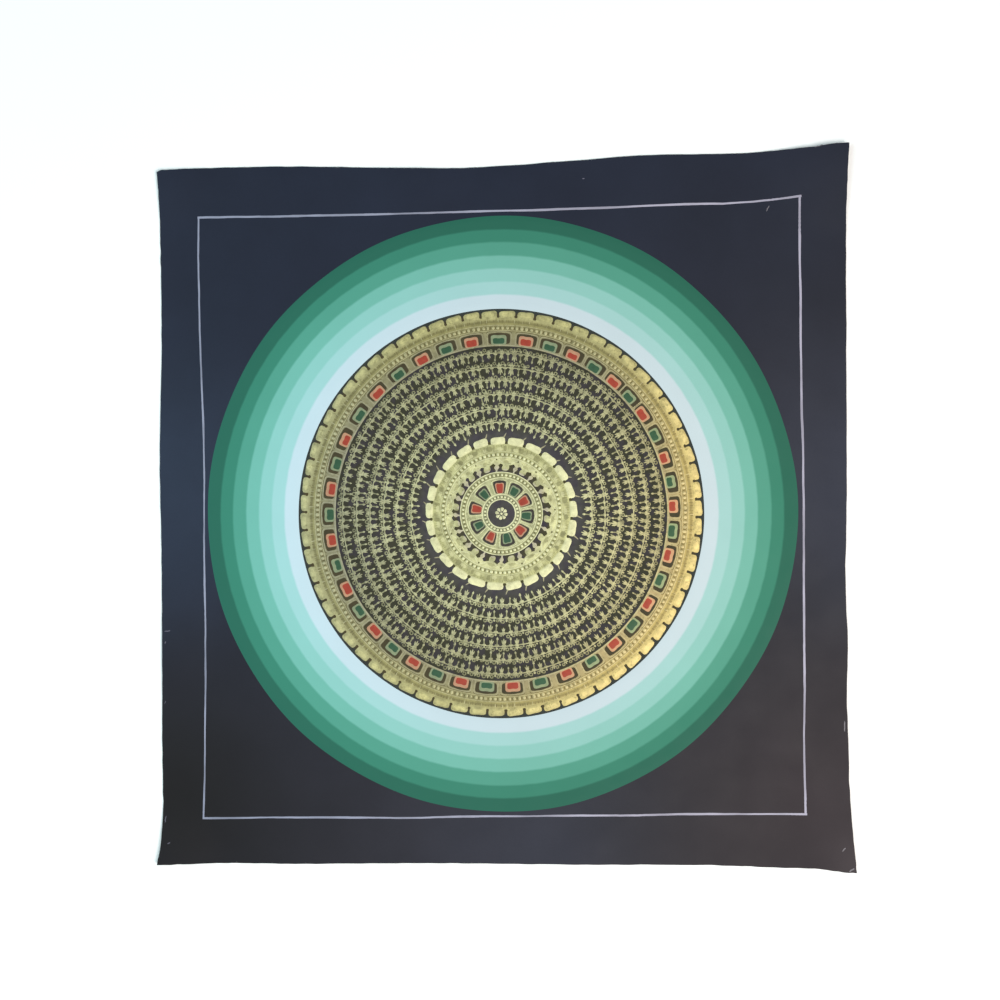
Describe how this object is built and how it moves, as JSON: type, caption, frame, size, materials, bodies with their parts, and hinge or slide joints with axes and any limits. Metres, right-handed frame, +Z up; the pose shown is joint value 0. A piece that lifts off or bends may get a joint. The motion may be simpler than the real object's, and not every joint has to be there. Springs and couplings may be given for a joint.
{
  "type": "painted cotton thangka canvas, unmounted",
  "caption": "Unmounted square of painted cotton canvas, lying flat with curled corners: black ground, round gold and green mandala, pale frame line. Made to be mounted or framed as wall art.",
  "frame": {"origin": "under the middle of the canvas's outline box, on the surface that it lies on", "axes": "+Z up out of the painted face, +Y to the top of the picture, +X to its right"},
  "size_m": [0.5062, 0.5278, 0.0054],
  "materials": {
    "painted_cotton": "matte",
    "gold_paint": "satin",
    "colour_paint": "matte"
  },
  "bodies": {
    "root": {"canvas": "painted_cotton"}
  },
  "joints": []
}
